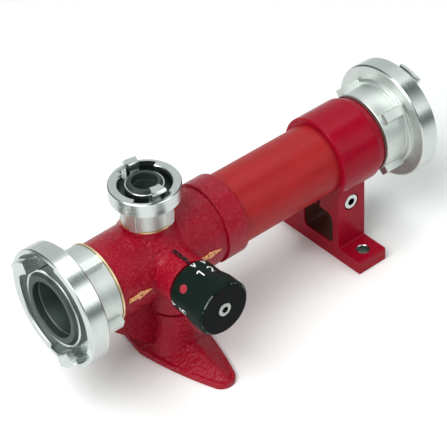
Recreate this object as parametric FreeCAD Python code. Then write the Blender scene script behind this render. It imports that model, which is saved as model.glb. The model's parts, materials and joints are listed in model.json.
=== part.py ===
import FreeCAD, Part
import math
import os

# Foam inductor: a water jet in the cast body draws foam concentrate through the top coupling,
# a dial meters it, and the mix leaves through a diffuser inside the red outer tube.
# Frame: origin midway between the rear bracket's two foot holes on the base plane,
# +X downstream, +Z up, the dial on the -Y side. All sizes are in millimetres.

V = FreeCAD.Vector

# Places along the flow line
flow_height = 92.2
suction_offset = 184.5
inlet_reach = 50.7
outlet_reach = 70.3
foot_shift = 10.0

# Clearances
turned_slip = 0.15
running_slip = 0.05
thread_slip = 0.2
seat_gap = 0.3
end_gap = 0.2
head_room = 1.0
overcut = 1.0

# Edge breaks of turned pieces, edges and blends of castings
turned_edge = 0.5
cast_edge = 0.8
cast_round = 1.2
flare_blend = 3.0
boss_blend = 4.0
dial_boss_blend = 6.0

# Claw pattern shared by the couplings, angles in degrees seen from outside
lug_half_angle = 14.0
entry_angle = 35.0
lip_angle = 103.0
rib_angle = 32.0
rib_count = 4
inlet_lug_angle = 128.0
outlet_lug_angle = 102.5
suction_lug_angle = 80.0

# Large claw coupling, at the inlet and the outlet
large_ring_r = 49.0
large_ring_width = 16.0
large_length = 40.0
large_channel_r = 45.2
large_lip_r = 41.5
large_lip = 5.0
large_web = 4.0
large_rim_r = 32.3
large_rim_drop = 1.0
large_pocket_r = 30.2
large_pocket_depth = 4.5
large_bore_r = 23.5
large_hub_r = 33.3
large_bead_r = 36.6
large_bead = 3.2
large_thread_depth = 20.0
large_lug_spacing = 66.0
large_lug_r = 44.2
large_lug_height = 9.5
large_lug_head = 4.0
large_rib_height = 5.4
large_rib_width = 8.0
large_rib_setback = 3.0
large_seal_r = 23.0
large_seal_proud = 1.0

# Small claw coupling, on the suction boss
small_ring_r = 27.5
small_ring_width = 12.6
small_length = 31.7
small_channel_r = 24.9
small_lip_r = 20.6
small_lip = 3.6
small_web = 3.4
small_rim_r = 15.0
small_rim_drop = 0.8
small_pocket_r = 13.8
small_pocket_depth = 5.0
small_bore_r = 10.2
small_hub_r = 20.0
small_bead_r = 21.6
small_bead = 2.0
small_thread_depth = 16.0
small_thread_r = 16.6
small_lug_spacing = 31.0
small_lug_r = 24.2
small_lug_height = 7.0
small_lug_head = 2.4
small_rib_height = 1.6
small_rib_width = 6.0
small_rib_setback = 0.0
small_seal_r = 9.75
small_seal_proud = 1.4

# Gaskets on the thread shoulders
inlet_gasket_thickness = 1.5
outlet_gasket_thickness = 2.2
suction_gasket_thickness = 1.3
gasket_overhang = 0.3

# Outer tube and diffuser
tube_r = 29.65
tube_wall = 3.0
tube_gasket_thickness = 2.0
tube_socket_at = 22.5
diffuser_flange = 4.0
diffuser_nose_at = 5.0
diffuser_mouth_r = 13.6
throat_r = 9.5
throat_length = 8.0
diffuser_exit_r = 22.6
diffuser_wall = 2.8
diffuser_ring = 6.0
diffuser_root_round = 2.0
throat_round = 10.0

# Water nozzle
nozzle_flange = 3.0
nozzle_jet_r = 7.5
nozzle_tip_at = -9.0
nozzle_straight = 5.0
nozzle_tip_wall = 3.2
pilot_r = 24.85
pilot_length = 11.0
nozzle_groove_at = 5.5
ring_section_r = 1.0
nozzle_throat_round = 6.0
nozzle_mouth_round = 12.0

# Cast body
casting_inlet_r = 31.2
casting_outlet_r = 32.6
groove_at = 44.9
groove_width = 5.4
groove_depth = 1.2
collar_r = 33.4
chamber_r = 15.0
chamber_from = -18.0
chamber_cone = 12.0
spigot_wall_r = 25.0

# Suction boss, check valve and passages
boss_height = 35.6
boss_r = 20.6
boss_flare = 6.0
boss_flare_low = 22.0
boss_flare_high = 30.0
valve_bore_r = 11.5
cage_seat_at = 27.5
cage_thickness = 3.1
cage_window = 60.0
ball_r = 8.5
ball_lift = 5.5
valve_seat_thickness = 2.0
valve_seat_r = 6.5
well_r = 9.0
well_floor = 22.0
passage_r = 5.0

# Dial boss, spindle and dial
dial_boss_reach = 47.0
dial_boss_r = 20.0
dial_boss_flare = 3.5
dial_flare_low = 25.0
dial_flare_high = 29.5
plug_r = 11.0
plug_from = 30.0
plug_length = 11.5
plug_land = 1.2
plug_ring_setback = 2.6
stem_r = 7.4
gland_r = 15.0
metering_groove = 5.0
metering_core_r = 8.2
metering_offset = 1.7
metering_port_r = 4.0
spindle_ring_r = 0.85
dial_gap = 2.2
dial_length = 37.2
dial_skirt_r = 21.0
dial_skirt_length = 17.6
dial_grip_root_r = 21.6
dial_grip_r = 22.7
dial_grip_rise = 6.0
dial_back_edge = 0.8
dial_rim_edge = 2.2
stop_pin_r = 1.5
stop_circle_r = 17.5
stop_track = 4.2
stop_depth = 6.0
stop_angle = -90.0
dial_turn_down = 52.0
dial_turn_up = 260.0
stop_spare = 1.2
index_width = 3.4
index_relief = 0.9
index_length = 17.5
dial_web = 3.4
washer_r = 6.2
washer_thickness = 1.2
dial_screw_r = 3.0
dial_screw_head_r = 5.6
dial_screw_head = 2.6
dial_screw_length = 17.0
dial_screw_key = 5.0
dial_screw_proud = 0.4

# Front foot of the casting
foot_half_width = 28.0
foot_mid_width = 22.4
foot_mid_at = 30.0
foot_reach = 76.0
foot_tip_r = 11.0
foot_rim = 5.0
foot_margin = 2.0
crest_inner_height = 19.5
crest_rise = 2.0
crest_inner_half = 4.0
crest_mid_half = 1.6
crest_tip_half = 0.9
crest_mid_height = 12.8
crest_mid_at = 46.0
crest_tip_height = 8.0
crest_tip_at = 70.0
pedestal_r = 17.5
pedestal_spread = 12.2
pedestal_flare = 6.5
pedestal_flare_height = 20.0
pedestal_neck = 1.4
pedestal_neck_low = 44.5
pedestal_collar = 3.0
pedestal_collar_low = 49.0
web_half = 8.0
web_drop = 43.7
web_outlet_inset = 13.8
web_round = 9.0

# Raised flow arrows on the dial side
arrow_length = 21.6
arrow_head = 13.0
arrow_head_width = 6.4
arrow_tail_width = 3.4
arrow_relief = 0.9
arrow_root = 2.0
arrow_inlet_tail = 45.3
arrow_outlet_tail = 21.6

# Rear bracket
bracket_collar_r = 35.2
bracket_front = 17.5
bracket_back = 28.7
bracket_back_taper = 7.7
bracket_back_drop = 2.9
bracket_half = 14.25
leg_outer = 23.9
leg_inner = 17.1
base_half = 48.7
base_thickness = 11.6
window_floor = 13.1
window_round = 8.0
window_low_round = 5.0
ear_wall = 5.6
base_corner = 1.2
base_fillet = 1.6
slit_half = 2.0
foot_hole_r = 5.0
foot_hole_edge = 0.5
foot_hole_spacing = 75.0
clamp_wall = 3.25
clamp_screw_r = 4.0
clamp_head_r = 6.5
clamp_head = 8.0
clamp_key = 6.0

# Derived places
suction_x = -suction_offset
foot_x = suction_x + foot_shift
large_thread_r = tube_r + turned_slip
inlet_hub_end = inlet_reach + inlet_gasket_thickness
inlet_face = inlet_hub_end + large_length
spigot_end = inlet_hub_end + large_thread_depth - nozzle_flange - end_gap
outlet_hub_end = bracket_back + outlet_gasket_thickness
outlet_face = outlet_hub_end + large_length
tube_end = outlet_hub_end + large_thread_depth - end_gap
tube_start = tube_socket_at + tube_gasket_thickness + diffuser_flange
suction_hub_end = boss_height + suction_gasket_thickness
suction_face = suction_hub_end + small_length
valve_seat_at = suction_hub_end + small_thread_depth - end_gap - valve_seat_thickness
ball_drop = math.sqrt(ball_r ** 2 - valve_seat_r ** 2)
ball_at = valve_seat_at - ball_drop - seat_gap - ball_lift
dial_at = dial_boss_reach + dial_gap
plug_end = plug_from + plug_length
dial_recess = washer_thickness + dial_screw_head - dial_screw_proud
stem_end = dial_at + dial_length - dial_recess - dial_web
clamp_screw_height = flow_height - tube_r - clamp_head_r - clamp_wall
window_top = clamp_screw_height - clamp_screw_r - thread_slip - ear_wall


def outline(corners, at):
    """Closed wire through (u, v, size) corners: a size above zero rounds one, below zero bevels it."""
    spots = [V(u, v, 0) for u, v, _ in corners]
    turns = []
    for i, (_, _, radius) in enumerate(corners):
        spot = spots[i]
        before = (spots[i - 1] - spot).normalize()
        after = (spots[(i + 1) % len(spots)] - spot).normalize()
        if radius == 0:
            turns.append((spot, None, spot))
            continue
        if radius < 0:
            turns.append((spot - before * radius, None, spot - after * radius))
            continue
        half = before.getAngle(after) / 2
        reach = radius / math.tan(half)
        middle = (before + after).normalize() * (radius / math.sin(half) - radius)
        turns.append((spot + before * reach, spot + middle, spot + after * reach))
    edges = []
    for i, (start, middle, end) in enumerate(turns):
        if middle is not None:
            edges.append(Part.Arc(at(start), at(middle), at(end)).toShape())
        elif (end - start).Length > 1e-6:
            edges.append(Part.LineSegment(at(start), at(end)).toShape())
        following = turns[(i + 1) % len(turns)][0]
        if (following - end).Length > 1e-6:
            edges.append(Part.LineSegment(at(end), at(following)).toShape())
    return Part.Wire(edges)


def lathe(corners, start=0.0, turn=360.0):
    """Solid turned about Z from (radius, height, corner radius) points."""
    face = Part.Face(outline(corners, lambda p: V(p.x, 0, p.y)))
    face.rotate(V(0, 0, 0), V(0, 0, 1), start)
    return face.revolve(V(0, 0, 0), V(0, 0, 1), turn)


def ring(inner, outer, low, high, edge=0.0):
    """Plain ring about Z, its outer edges rounded or bevelled."""
    return lathe([(inner, low, 0), (outer, low, edge), (outer, high, edge), (inner, high, 0)])


def rod(radius, low, high):
    """Plain cylinder about Z from one height to another."""
    return Part.makeCylinder(radius, high - low, V(0, 0, low))


def block(x, y, z):
    """Box between pairs of limits along each axis."""
    return Part.makeBox(x[1] - x[0], y[1] - y[0], z[1] - z[0], V(x[0], y[0], z[0]))


def prism_y(corners, low, high):
    """Outline in the XZ plane, drawn out along Y."""
    face = Part.Face(outline(corners, lambda p: V(p.x, low, p.y)))
    return face.extrude(V(0, high - low, 0))


def prism_x(corners, low, high):
    """Outline in the YZ plane, drawn out along X."""
    face = Part.Face(outline(corners, lambda p: V(low, p.x, p.y)))
    return face.extrude(V(high - low, 0, 0))


def hexagon(across, low, high):
    """Hexagonal prism about Z for a key socket."""
    corner = across / math.sqrt(3)
    spots = [V(corner * math.cos(k * math.pi / 3), corner * math.sin(k * math.pi / 3), low) for k in range(7)]
    return Part.Face(Part.makePolygon(spots)).extrude(V(0, 0, high - low))


def frame_at(shape, origin, z_axis, x_axis):
    """Copy of a shape carried from its own Z and X axes to the given ones."""
    y_axis = z_axis.cross(x_axis)
    turn = FreeCAD.Matrix(
        x_axis.x, y_axis.x, z_axis.x, origin.x,
        x_axis.y, y_axis.y, z_axis.y, origin.y,
        x_axis.z, y_axis.z, z_axis.z, origin.z,
        0, 0, 0, 1)
    moved = shape.copy()
    moved.Placement = FreeCAD.Placement(turn).multiply(moved.Placement)
    return moved


def along_flow(shape):
    """From turning frame to the flow axis, zero at the suction axis, downstream positive."""
    return frame_at(shape, V(suction_x, 0, flow_height), V(1, 0, 0), V(0, 0, 1))


def along_tube(shape):
    """From turning frame to the flow axis, zero at the rear bracket."""
    return frame_at(shape, V(0, 0, flow_height), V(1, 0, 0), V(0, 0, 1))


def up_suction(shape):
    """From turning frame to the suction axis, zero at the flow axis, upwards positive."""
    return frame_at(shape, V(suction_x, 0, flow_height), V(0, 0, 1), V(1, 0, 0))


def out_dial(shape):
    """From turning frame to the dial axis, zero at the flow axis, outwards along -Y positive."""
    return frame_at(shape, V(suction_x, 0, flow_height), V(0, -1, 0), V(1, 0, 0))


def claw_coupling(s):
    """One-piece claw coupling about Z with its face at zero, looking outwards along +Z."""
    floor = s["web"] - s["ring_width"]
    shoulder = s["thread_depth"] - s["length"]
    lug_r = s["lug_spacing"] / 2
    shank_r = s["lip_r"] - (s["channel_r"] - s["lug_r"])
    hook = s["lug_height"] - s["lug_head"]
    edge = 0.05 * s["ring_width"]
    bead_at = -s["ring_width"] - s["bead"]
    casting = lathe([
        (s["thread_r"], -s["length"], 0),
        (s["hub_r"], -s["length"], -edge),
        (s["hub_r"], bead_at, edge),
        (s["bead_r"], bead_at, 2 * edge),
        (s["bead_r"], -s["ring_width"], edge),
        (s["ring_r"], -s["ring_width"], -1.5 * edge),
        (s["ring_r"], 0, -edge),
        (s["lip_r"], 0, -edge),
        (s["lip_r"], -s["lip"], 0),
        (s["channel_r"], -s["lip"], 0),
        (s["channel_r"], floor, 0),
        (s["rim_r"], floor, 0),
        (s["rim_r"], -s["rim_drop"], -edge / 2),
        (s["pocket_r"], -s["rim_drop"], 0),
        (s["pocket_r"], -s["pocket_depth"], 0),
        (s["bore_r"], -s["pocket_depth"], 0),
        (s["bore_r"], shoulder, 0),
        (s["thread_r"], shoulder, 0)])
    notch_angle = 180 - 2 * lug_half_angle - entry_angle - lip_angle
    first = -lug_half_angle - entry_angle
    open_turn = entry_angle + 2 * lug_half_angle + notch_angle
    gate = [
        (lug_r, -s["lip"] - edge, 0),
        (s["channel_r"], -s["lip"] - edge, 0),
        (s["channel_r"], edge, 0),
        (lug_r, edge, 0)]
    gates = [lathe(gate, first + half_turn, open_turn) for half_turn in (0, 180)]
    lug = [
        (lug_r, floor - edge, 0),
        (shank_r, floor - edge, 0),
        (shank_r, hook, 0),
        (s["lug_r"], hook, 0),
        (s["lug_r"], s["lug_height"], -2 * edge),
        (lug_r, s["lug_height"], -edge)]
    lugs = [lathe(lug, half_turn - lug_half_angle, 2 * lug_half_angle) for half_turn in (0, 180)]
    rib_top = s["hub_r"] + s["rib_height"]
    rib_foot = s["hub_r"] - edge
    half = s["rib_width"] / 2
    rib = [
        (rib_foot, -half - edge, 0),
        (rib_top, -half, edge),
        (rib_top, half, edge),
        (rib_foot, half + edge, 0)]
    low = s["rib_setback"] - s["length"]
    rib_face = Part.Face(outline(rib, lambda p: V(p.x, p.y, low)))
    rib_solid = rib_face.extrude(V(0, 0, bead_at + edge - low))
    ribs = []
    for k in range(rib_count):
        copy = rib_solid.copy()
        copy.rotate(V(0, 0, 0), V(0, 0, 1), rib_angle + k * 360 / rib_count)
        ribs.append(copy)
    return casting.cut(gates).fuse(lugs + ribs).removeSplitter()


def coupling_seal(s):
    """Moulded ring seal in the coupling's pocket, its lip a little proud of the face."""
    outer = s["pocket_r"] - turned_slip
    proud = s["seal_proud"]
    lip = (outer - s["seal_r"]) / 3
    return lathe([
        (s["seal_r"], -s["pocket_depth"], 0),
        (outer, -s["pocket_depth"], 0),
        (outer, -s["rim_drop"], 0),
        (outer - lip, proud, lip / 3),
        (s["seal_r"], proud, lip / 3)])


def facing(shape, origin, outward, up, lug_angle):
    """Coupling or its seal set on its face, with its lugs turned to an angle seen from outside."""
    right = up.cross(outward)
    angle = math.radians(lug_angle)
    lug_way = right * math.cos(angle) + up * math.sin(angle)
    return frame_at(shape, origin, outward, lug_way)


large = dict(
    ring_r=large_ring_r, ring_width=large_ring_width, length=large_length, channel_r=large_channel_r,
    lip_r=large_lip_r, lip=large_lip, web=large_web, rim_r=large_rim_r, rim_drop=large_rim_drop,
    pocket_r=large_pocket_r, pocket_depth=large_pocket_depth, bore_r=large_bore_r, hub_r=large_hub_r,
    bead_r=large_bead_r, bead=large_bead,
    thread_r=large_thread_r, thread_depth=large_thread_depth, lug_spacing=large_lug_spacing,
    lug_r=large_lug_r, lug_height=large_lug_height, lug_head=large_lug_head,
    rib_height=large_rib_height, rib_width=large_rib_width, rib_setback=large_rib_setback,
    seal_r=large_seal_r, seal_proud=large_seal_proud)

small = dict(
    ring_r=small_ring_r, ring_width=small_ring_width, length=small_length, channel_r=small_channel_r,
    lip_r=small_lip_r, lip=small_lip, web=small_web, rim_r=small_rim_r, rim_drop=small_rim_drop,
    pocket_r=small_pocket_r, pocket_depth=small_pocket_depth, bore_r=small_bore_r, hub_r=small_hub_r,
    bead_r=small_bead_r, bead=small_bead,
    thread_r=small_thread_r, thread_depth=small_thread_depth, lug_spacing=small_lug_spacing,
    lug_r=small_lug_r, lug_height=small_lug_height, lug_head=small_lug_head,
    rib_height=small_rib_height, rib_width=small_rib_width, rib_setback=small_rib_setback,
    seal_r=small_seal_r, seal_proud=small_seal_proud)


def couplings():
    """The three couplings with their ring seals and shoulder gaskets."""
    up = V(0, 0, 1)
    upstream = V(-1, 0, 0)
    downstream = V(1, 0, 0)
    inlet_at = V(suction_x - inlet_face, 0, flow_height)
    outlet_at = V(outlet_face, 0, flow_height)
    suction_at = V(suction_x, 0, flow_height + suction_face)
    large_casting = claw_coupling(large)
    large_seal = coupling_seal(large)
    gasket_r = large_hub_r + gasket_overhang
    gasket_bore = large_thread_r
    spigot_bore = small_thread_r
    return {
        "inlet_coupling": facing(large_casting, inlet_at, upstream, up, inlet_lug_angle),
        "inlet_seal": facing(large_seal, inlet_at, upstream, up, inlet_lug_angle),
        "inlet_gasket": along_flow(ring(gasket_bore, gasket_r, -inlet_hub_end, -inlet_reach)),
        "outlet_coupling": facing(large_casting, outlet_at, downstream, up, outlet_lug_angle),
        "outlet_seal": facing(large_seal, outlet_at, downstream, up, outlet_lug_angle),
        "outlet_gasket": along_tube(ring(
            gasket_bore, large_hub_r - gasket_overhang, bracket_back, outlet_hub_end)),
        "suction_coupling": facing(claw_coupling(small), suction_at, up, V(0, 1, 0), suction_lug_angle),
        "suction_seal": facing(coupling_seal(small), suction_at, up, V(0, 1, 0), suction_lug_angle),
        "suction_gasket": up_suction(ring(
            spigot_bore, small_hub_r + gasket_overhang, boss_height, suction_hub_end)),
    }


def obround(radius, spread, height):
    """Slot-shaped wire in plan, long along Y, centred on the front foot."""
    left, right = foot_x - radius, foot_x + radius
    ends = [V(left, -spread, height), V(left, spread, height), V(right, spread, height), V(right, -spread, height)]
    return Part.Wire([
        Part.LineSegment(ends[0], ends[1]).toShape(),
        Part.Arc(ends[1], V(foot_x, spread + radius, height), ends[2]).toShape(),
        Part.LineSegment(ends[2], ends[3]).toShape(),
        Part.Arc(ends[3], V(foot_x, -spread - radius, height), ends[0]).toShape()])


def foot_half_width_at(y):
    """Half width of the foot's outline where its flank arc passes a place along Y."""
    share = y / foot_mid_at
    return foot_half_width - (foot_half_width - foot_mid_width) * share


def foot_plate():
    """Pointed base plate: two bowed flanks meet round tips on either side of the body."""
    tip_y = foot_reach - foot_tip_r
    lean = math.atan2(foot_half_width - foot_tip_r, tip_y)
    end_u = foot_tip_r * math.cos(lean)
    end_v = tip_y + foot_tip_r * math.sin(lean)
    edges = []
    for side in (1, -1):
        near, far = V(foot_x - side * foot_half_width, 0, 0), V(foot_x + side * foot_half_width, 0, 0)
        starts = V(foot_x - side * end_u, side * end_v, 0)
        ends = V(foot_x + side * end_u, side * end_v, 0)
        rising = V(foot_x - side * foot_mid_width, side * foot_mid_at, 0)
        falling = V(foot_x + side * foot_mid_width, side * foot_mid_at, 0)
        edges.append(Part.Arc(near, rising, starts).toShape())
        edges.append(Part.Arc(starts, V(foot_x, side * foot_reach, 0), ends).toShape())
        edges.append(Part.Arc(ends, falling, far).toShape())
    plate = Part.Face(Part.Wire(edges)).extrude(V(0, 0, foot_rim))
    top = [e for e in plate.Edges if all(abs(v.Point.z - foot_rim) < 1e-6 for v in e.Vertexes)]
    return plate.makeFillet(0.35 * foot_rim, top)


def foot_arm():
    """Roof-shaped arm on the plate: a narrow crest falls from the pedestal to the tip."""
    low = foot_rim / 2
    stations = [
        (0.0, foot_half_width - foot_margin, 1.25 * crest_inner_half, crest_inner_height + crest_rise),
        (pedestal_spread, foot_half_width_at(pedestal_spread) - foot_margin, crest_inner_half, crest_inner_height),
        (crest_mid_at, foot_half_width_at(crest_mid_at) - foot_margin, crest_mid_half, crest_mid_height),
        (crest_tip_at, 0.62 * foot_tip_r, crest_tip_half, crest_tip_height),
        (foot_reach - foot_margin, 0.3 * foot_tip_r, 0.8 * crest_tip_half, foot_rim)]
    wires = []
    for y, half_base, half_top, height in stations:
        shape = [
            V(foot_x - half_base, -y, low),
            V(foot_x + half_base, -y, low),
            V(foot_x + half_base, -y, 0.9 * foot_rim),
            V(foot_x + half_top, -y, height),
            V(foot_x - half_top, -y, height),
            V(foot_x - half_base, -y, 0.9 * foot_rim)]
        wires.append(Part.makePolygon(shape + shape[:1]))
    return Part.makeLoft(wires, True, True)


def pedestal():
    """Slot-shaped column under the body: flared foot, narrow neck, overhanging collar, fore-and-aft web."""
    top = flow_height - casting_inlet_r / 3
    low = foot_rim / 2
    core = Part.Face(obround(pedestal_r - pedestal_neck, pedestal_spread, low)).extrude(V(0, 0, top - low))
    column = Part.Face(obround(pedestal_r, pedestal_spread, low)).extrude(V(0, 0, pedestal_neck_low - low))
    collar = Part.Face(obround(
        pedestal_r + pedestal_collar, pedestal_spread - pedestal_collar / 2, pedestal_collar_low)).extrude(
        V(0, 0, top - pedestal_collar_low))
    flare = Part.makeLoft([
        obround(pedestal_r + pedestal_flare, pedestal_spread, low),
        obround(pedestal_r + 0.3 * pedestal_flare, pedestal_spread, low + 0.45 * pedestal_flare_height),
        obround(pedestal_r, pedestal_spread, low + pedestal_flare_height)], True, False)
    inlet_x = suction_x - inlet_reach + 2 * groove_depth
    outlet_x = suction_x + outlet_reach - web_outlet_inset
    web_low = flow_height - web_drop
    run = web_low - foot_rim
    web = prism_y([
        (inlet_x, top, 0),
        (inlet_x, web_low, web_round),
        (inlet_x + run, foot_rim, 0),
        (2 * foot_x - inlet_x - run, foot_rim, 0),
        (outlet_x, flow_height - casting_inlet_r, 0),
        (outlet_x, top, 0)], -web_half, web_half)
    return [core, column, collar, flare, web]


def flow_arrow(tail_x, skin_r):
    """Raised arrow pointing downstream on the dial side of the casting."""
    neck = tail_x + arrow_length - arrow_head
    tip = tail_x + arrow_length
    tail, head = arrow_tail_width / 2, arrow_head_width / 2
    z = flow_height
    return prism_y([
        (tail_x, z - tail, 0),
        (neck, z - tail, 0),
        (neck, z - head, 0),
        (tip, z, 0),
        (neck, z + head, 0),
        (neck, z + tail, 0),
        (tail_x, z + tail, 0)], -skin_r - arrow_relief, -skin_r + arrow_root)


def skin_radius(station):
    """Radius of the tapered casting at a distance downstream of the suction axis."""
    share = (station + inlet_reach) / (groove_at + inlet_reach)
    return casting_inlet_r + (casting_outlet_r - casting_inlet_r) * share


def injector_body():
    """Cast body with inlet and suction spigots, tube socket, dial boss, foot and cored passages."""
    spigot_r = large_thread_r - thread_slip
    collar_at = groove_at + groove_width
    groove_r = casting_outlet_r - groove_depth
    barrel = along_flow(lathe([
        (0, -spigot_end, 0),
        (spigot_r, -spigot_end, -turned_edge),
        (spigot_r, -inlet_reach, 0),
        (casting_inlet_r, -inlet_reach, cast_edge),
        (casting_outlet_r, groove_at, cast_edge),
        (groove_r, groove_at, 0),
        (groove_r, collar_at, 0),
        (collar_r, collar_at, cast_edge),
        (collar_r, outlet_reach, cast_round),
        (0, outlet_reach, 0)]))
    suction_spigot_r = small_thread_r - thread_slip
    suction_boss = up_suction(lathe([
        (0, 0, 0),
        (boss_r + boss_flare, 0, 0),
        (boss_r + boss_flare, boss_flare_low, flare_blend),
        (boss_r, boss_flare_high, boss_blend),
        (boss_r, boss_height, cast_edge),
        (suction_spigot_r, boss_height, 0),
        (suction_spigot_r, valve_seat_at, -turned_edge),
        (0, valve_seat_at, 0)]))
    dial_boss = out_dial(lathe([
        (0, 0, 0),
        (dial_boss_r + dial_boss_flare, 0, 0),
        (dial_boss_r + dial_boss_flare, dial_flare_low, flare_blend),
        (dial_boss_r, dial_flare_high, dial_boss_blend),
        (dial_boss_r, dial_boss_reach, cast_edge),
        (0, dial_boss_reach, 0)]))
    index_top = flow_height + dial_boss_r + index_relief
    index_bar = block(
        (suction_x - index_width / 2, suction_x + index_width / 2),
        (-dial_boss_reach, index_length - dial_boss_reach),
        (flow_height + dial_boss_r / 2, index_top))
    arm = foot_arm()
    arms = [arm, arm.mirror(V(0, 0, 0), V(0, 1, 0))]
    arrows = [
        flow_arrow(suction_x - arrow_inlet_tail, skin_radius(-arrow_inlet_tail + arrow_length / 2)),
        flow_arrow(suction_x + arrow_outlet_tail, skin_radius(arrow_outlet_tail + arrow_length / 2))]
    solid = barrel.fuse([suction_boss, dial_boss, index_bar, foot_plate()] + arms + pedestal() + arrows)
    return solid.cut(body_passages()).removeSplitter()


def body_passages():
    """Cored and bored spaces of the casting: water way, tube socket, valve bore and metering bore."""
    water_way = along_flow(lathe([
        (0, -spigot_end - overcut, 0),
        (spigot_wall_r, -spigot_end - overcut, 0),
        (spigot_wall_r, chamber_from - chamber_cone, 0),
        (chamber_r, chamber_from, 0),
        (chamber_r, tube_socket_at, 0),
        (tube_r + thread_slip, tube_socket_at, 0),
        (tube_r + thread_slip, outlet_reach + overcut, 0),
        (0, outlet_reach + overcut, 0)]))
    valve_bore = up_suction(rod(valve_bore_r, cage_seat_at, valve_seat_at + overcut))
    well = up_suction(rod(well_r, well_floor, cage_seat_at + overcut))
    start = V(suction_x, 0, flow_height + well_floor + passage_r / 2)
    end = V(suction_x, -plug_from - 0.7 * plug_length, flow_height + passage_r)
    passage = Part.makeCylinder(passage_r, (end - start).Length, start, end - start)
    metering_bore = out_dial(rod(plug_r, plug_from, dial_boss_reach + overcut))
    gland_bore = out_dial(rod(gland_r, plug_end, dial_boss_reach + overcut))
    port = out_dial(rod(metering_port_r + overcut, 0, plug_from + overcut))
    angle = math.radians(stop_angle)
    pin_hole = out_dial(rod(stop_pin_r, plug_end, dial_boss_reach + overcut))
    pin_hole.translate(V(stop_circle_r * math.cos(angle), 0, stop_circle_r * math.sin(angle)))
    return [water_way, valve_bore, well, passage, metering_bore, gland_bore, port, pin_hole]


def water_parts():
    """Water nozzle with its ring seal, diffuser, outer tube and the tube's end gasket."""
    flange_at = -spigot_end - nozzle_flange
    pilot_at = -spigot_end + pilot_length
    ring_at = -spigot_end + nozzle_groove_at
    groove_r = spigot_wall_r - 2 * ring_section_r - running_slip
    groove_half = 1.3 * ring_section_r
    nozzle = lathe([
        (large_bore_r - turned_slip, flange_at, 0),
        (large_thread_r - thread_slip, flange_at, -turned_edge),
        (large_thread_r - thread_slip, -spigot_end, 0),
        (pilot_r, -spigot_end, 0),
        (pilot_r, pilot_at, -turned_edge),
        (nozzle_jet_r + nozzle_tip_wall, nozzle_tip_at, 0),
        (nozzle_jet_r, nozzle_tip_at, 0),
        (nozzle_jet_r, nozzle_tip_at - nozzle_straight, nozzle_throat_round),
        (large_bore_r - diffuser_wall, -spigot_end, nozzle_mouth_round)])
    groove = ring(groove_r, pilot_r + overcut, ring_at - groove_half, ring_at + groove_half)
    nozzle = nozzle.cut(groove)
    nozzle_seal = Part.makeTorus(spigot_wall_r - running_slip - ring_section_r, ring_section_r, V(0, 0, ring_at))
    nose_r = chamber_r - thread_slip
    exit_at = suction_offset + tube_end
    tube_bore = tube_r - tube_wall
    throat_at = tube_start - throat_length
    diffuser = lathe([
        (diffuser_mouth_r, diffuser_nose_at, 0),
        (nose_r, diffuser_nose_at, -turned_edge),
        (nose_r, tube_start - diffuser_flange, 0),
        (tube_r - turned_slip, tube_start - diffuser_flange, -turned_edge),
        (tube_r - turned_slip, tube_start, 0),
        (throat_r + 2 * diffuser_wall, tube_start, diffuser_root_round),
        (diffuser_exit_r + diffuser_wall, exit_at - diffuser_ring, 0),
        (tube_bore - turned_slip, exit_at - diffuser_ring, -turned_edge),
        (tube_bore - turned_slip, exit_at, -turned_edge),
        (diffuser_exit_r, exit_at, 0),
        (throat_r, tube_start, throat_round),
        (throat_r, throat_at, throat_round)])
    outer_tube = ring(tube_bore, tube_r, tube_start, exit_at, -turned_edge)
    tube_gasket = ring(chamber_r + thread_slip, tube_r - turned_slip, tube_socket_at, tube_start - diffuser_flange)
    return {
        "water_nozzle": along_flow(nozzle),
        "nozzle_seal": along_flow(nozzle_seal),
        "diffuser": along_flow(diffuser),
        "outer_tube": along_flow(outer_tube),
        "tube_gasket": along_flow(tube_gasket),
    }


def suction_parts():
    """Check valve in the suction boss: seat on top, ball below it, slotted cage under the ball."""
    seat_rim = small_thread_r - thread_slip
    seat = lathe([
        (valve_seat_r, valve_seat_at, 0),
        (seat_rim, valve_seat_at, 0),
        (seat_rim, valve_seat_at + valve_seat_thickness, 0),
        (small_bore_r, valve_seat_at + valve_seat_thickness, 0)])
    ball = Part.makeSphere(ball_r, V(0, 0, ball_at))
    cage_top = cage_seat_at + cage_thickness
    cage_r = valve_bore_r - turned_slip
    dish = Part.makeSphere(ball_r + seat_gap, V(0, 0, ball_at))
    hub_r = 0.3 * valve_bore_r
    slot = [
        (hub_r, cage_seat_at - overcut, 0),
        (0.75 * well_r, cage_seat_at - overcut, 0),
        (0.75 * well_r, cage_top + overcut, 0),
        (hub_r, cage_top + overcut, 0)]
    slots = [lathe(slot, k * 90 - cage_window / 2, cage_window) for k in range(4)]
    cage = rod(cage_r, cage_seat_at, cage_top).cut(slots + [dish])
    return {
        "valve_seat": up_suction(seat),
        "check_ball": up_suction(ball),
        "ball_cage": up_suction(cage),
    }


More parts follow.
